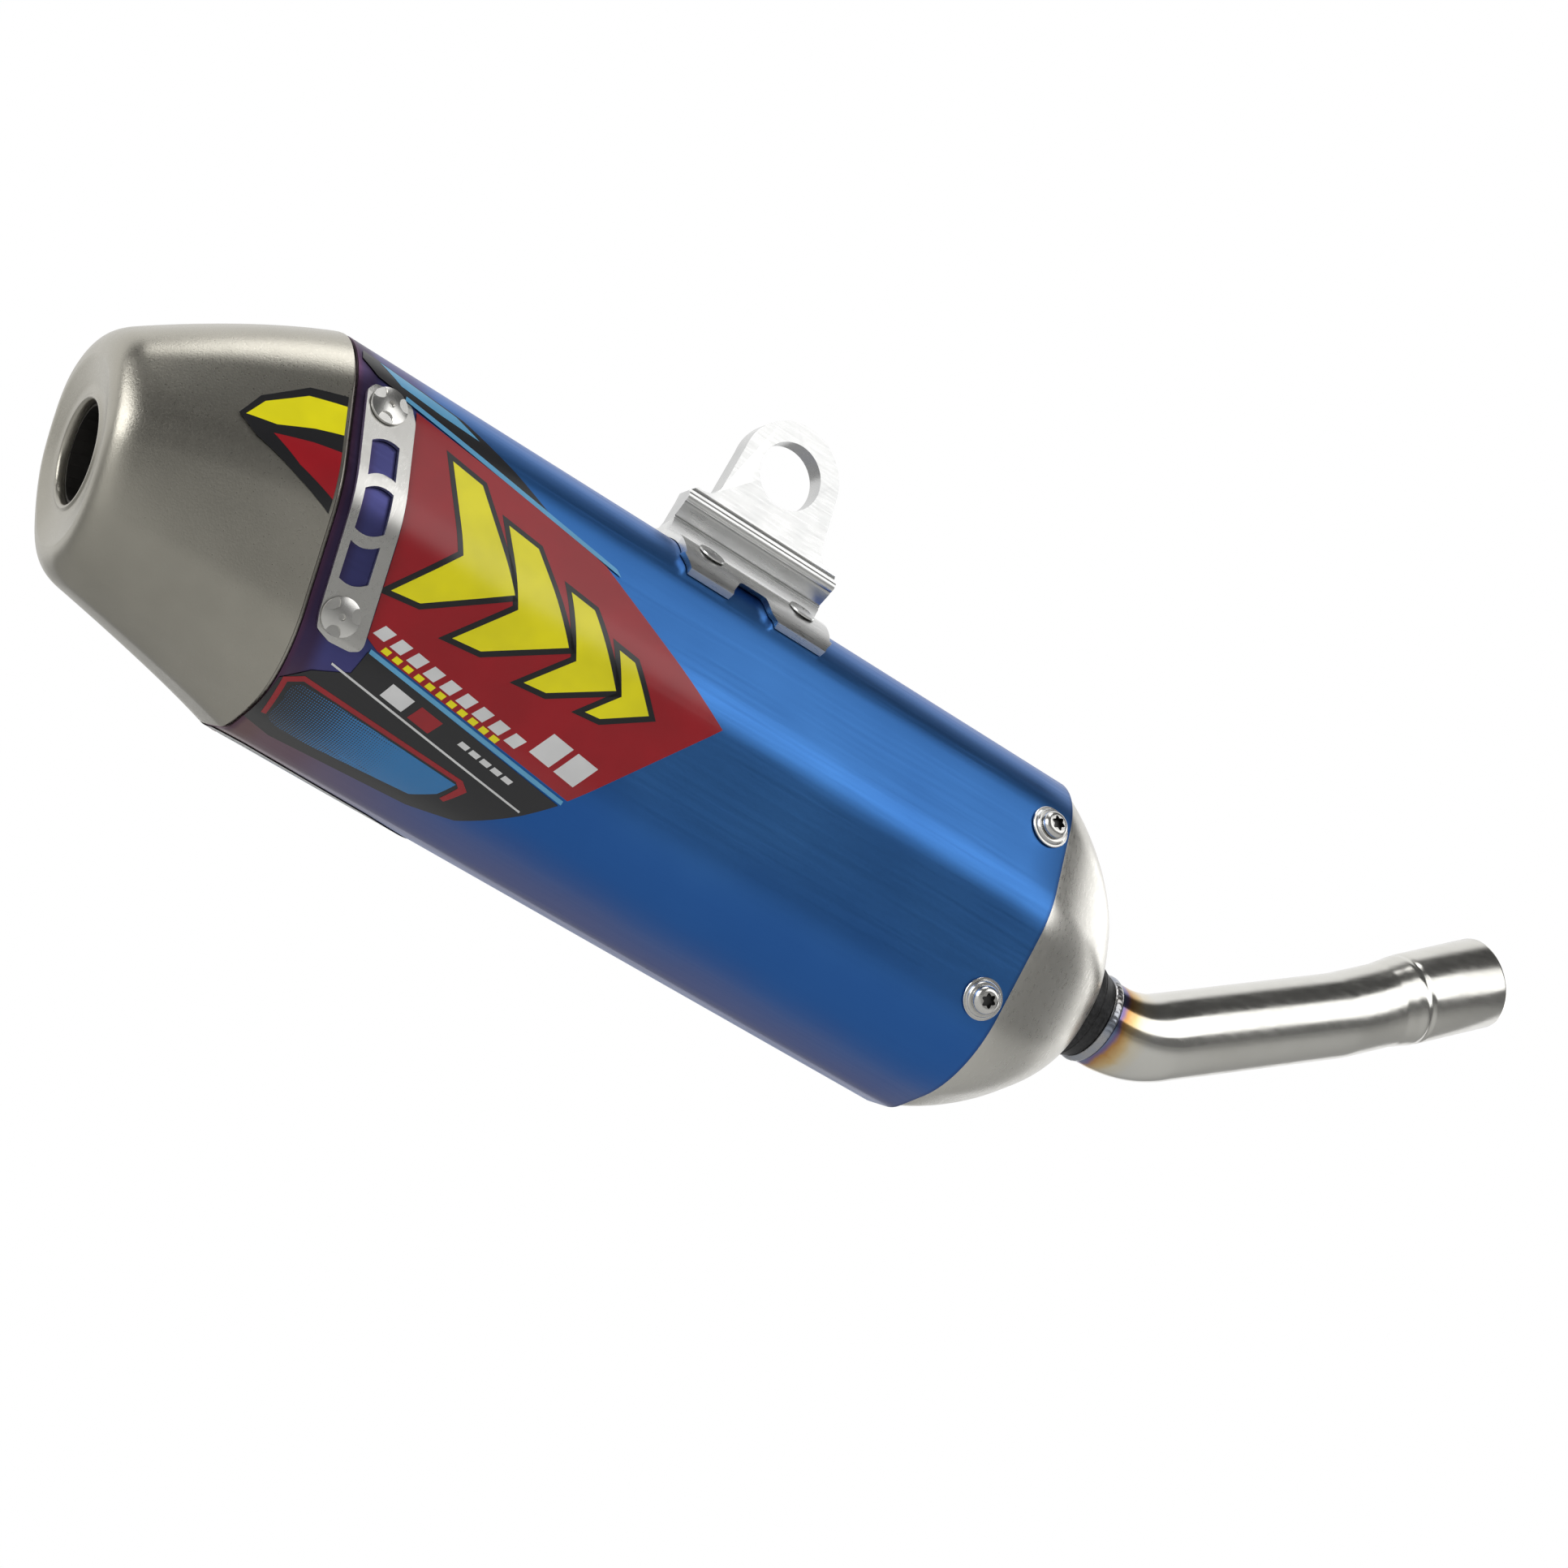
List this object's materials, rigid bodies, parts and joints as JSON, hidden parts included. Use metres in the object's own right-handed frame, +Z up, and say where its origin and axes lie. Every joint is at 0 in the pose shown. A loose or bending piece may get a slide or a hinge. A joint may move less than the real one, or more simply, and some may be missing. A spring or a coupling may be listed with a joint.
{
  "type": "exhaust muffler",
  "caption": "Two-stroke dirt bike silencer: anodised sleeve between a tapered outlet cap and a domed inlet cap, with a bent inlet pipe and a riveted hanger bracket.",
  "frame": {"origin": "centre of the hanger hole, midway through the bracket's lug", "axes": "+X forward along the silencer towards the inlet, +Y left, +Z up towards the hanger lug"},
  "size_m": [0.5919, 0.1131, 0.1873],
  "materials": {
    "titanium": "blue anodised titanium with brown and violet heat tones at the edges",
    "satin": "warm grey satin, formed",
    "stainless": "brushed and polished stainless steel",
    "aluminium": "bright extruded aluminium",
    "black": "matte black coated collar",
    "weld": "weld bead with heat tint",
    "decal": "gloss printed vinyl",
    "fibre": "loose mineral fibre"
  },
  "bodies": {
    "root": {"bracket_rivet_1": "aluminium", "bracket_rivet_2": "aluminium", "bracket_rivet_3": "aluminium", "bracket_rivet_4": "aluminium", "cap_decal_left": "decal", "cap_decal_right": "decal", "cap_screw_1": "stainless", "cap_screw_2": "stainless", "cap_screw_3": "stainless", "cap_screw_4": "stainless", "inlet_cap": "stainless", "inlet_pipe": "stainless", "mount_bracket": "aluminium", "neck_collar": "black", "outlet_cap": "satin", "outlet_tube": "stainless", "packing": "fibre", "perforated_core": "stainless", "rivet_nut_1": "stainless", "rivet_nut_2": "stainless", "rivet_nut_3": "stainless", "rivet_nut_4": "stainless", "screw_washer_1": "stainless", "screw_washer_2": "stainless", "screw_washer_3": "stainless", "screw_washer_4": "stainless", "sleeve": "titanium", "sleeve_decal_left": "decal", "sleeve_decal_right": "decal", "strap_left": "stainless", "strap_right": "stainless", "strap_rivet_1": "stainless", "strap_rivet_2": "stainless", "strap_rivet_3": "stainless", "strap_rivet_4": "stainless", "weld_bead": "weld"}
  },
  "joints": []
}
